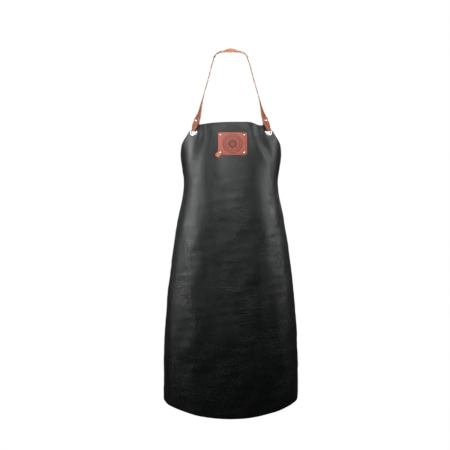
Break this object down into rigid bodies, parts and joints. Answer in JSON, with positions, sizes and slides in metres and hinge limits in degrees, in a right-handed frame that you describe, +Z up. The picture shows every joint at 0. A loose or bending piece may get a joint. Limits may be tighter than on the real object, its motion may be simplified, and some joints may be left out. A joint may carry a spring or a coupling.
{
  "type": "leather bib apron",
  "caption": "Full-length leather bib apron, hung from a neck strap looped through grommets, with a buckled waist belt and a riveted name patch.",
  "frame": {"origin": "underside of the neck strap at the nape, where the apron rests on its wearer's neck", "axes": "+Z up, -Y to the front of the apron, +X to the right seen from the front"},
  "size_m": [0.4136, 0.275, 1.1228],
  "materials": {
    "black_leather": "semi-matt waxed full-grain leather",
    "strap_leather": "reddish-brown vegetable-tanned leather",
    "patch_leather": "embossed brown leather",
    "tag_leather": "smooth orange leather",
    "nickel": "polished nickel plate"
  },
  "bodies": {
    "neck_strap": {"neck_strap": "strap_leather", "neck_stud_left": "nickel", "neck_stud_right": "nickel", "neck_stud_screw_left": "nickel", "neck_stud_screw_right": "nickel"},
    "apron": {"apron_panel": "black_leather", "name_patch": "patch_leather", "corner_tag": "tag_leather", "patch_rivet_caps": "nickel", "patch_rivet_backs": "nickel", "neck_grommet_left": "nickel", "neck_grommet_right": "nickel", "neck_washer_left": "nickel", "neck_washer_right": "nickel", "waist_grommet_left": "nickel", "waist_grommet_right": "nickel", "waist_washer_left": "nickel", "waist_washer_right": "nickel"},
    "waist_belt": {"waist_strap_left": "strap_leather", "waist_strap_right": "strap_leather", "waist_stud_left": "nickel", "waist_stud_right": "nickel", "waist_stud_screw_left": "nickel", "waist_stud_screw_right": "nickel", "buckle_frame": "nickel", "fixed_keeper": "strap_leather", "fold_rivet_heads": "nickel", "fold_rivet_backs": "nickel"},
    "prong": {"buckle_prong": "nickel"},
    "keeper": {"sliding_keeper": "strap_leather"}
  },
  "joints": [
    {"name": "apron_swing", "type": "hinge", "parent": "neck_strap", "child": "apron", "pos_m": [0, -0.16673, -0.26965], "axis": [1, 0, 0], "range_deg": [-2.5, 5]},
    {"name": "belt_lift", "type": "hinge", "parent": "apron", "child": "waist_belt", "pos_m": [0, -0.03942, -0.417], "axis": [1, 0, 0], "range_deg": [0, 40]},
    {"name": "prong_lift", "type": "hinge", "parent": "waist_belt", "child": "prong", "pos_m": [0.032, 0.04985, -0.44949], "axis": [0, 0.342, 0.9397], "range_deg": [0, 12]},
    {"name": "keeper_slide", "type": "slide", "parent": "waist_belt", "child": "keeper", "axis": [1, 0, 0], "range_m": [-0.012, 0.009]}
  ]
}
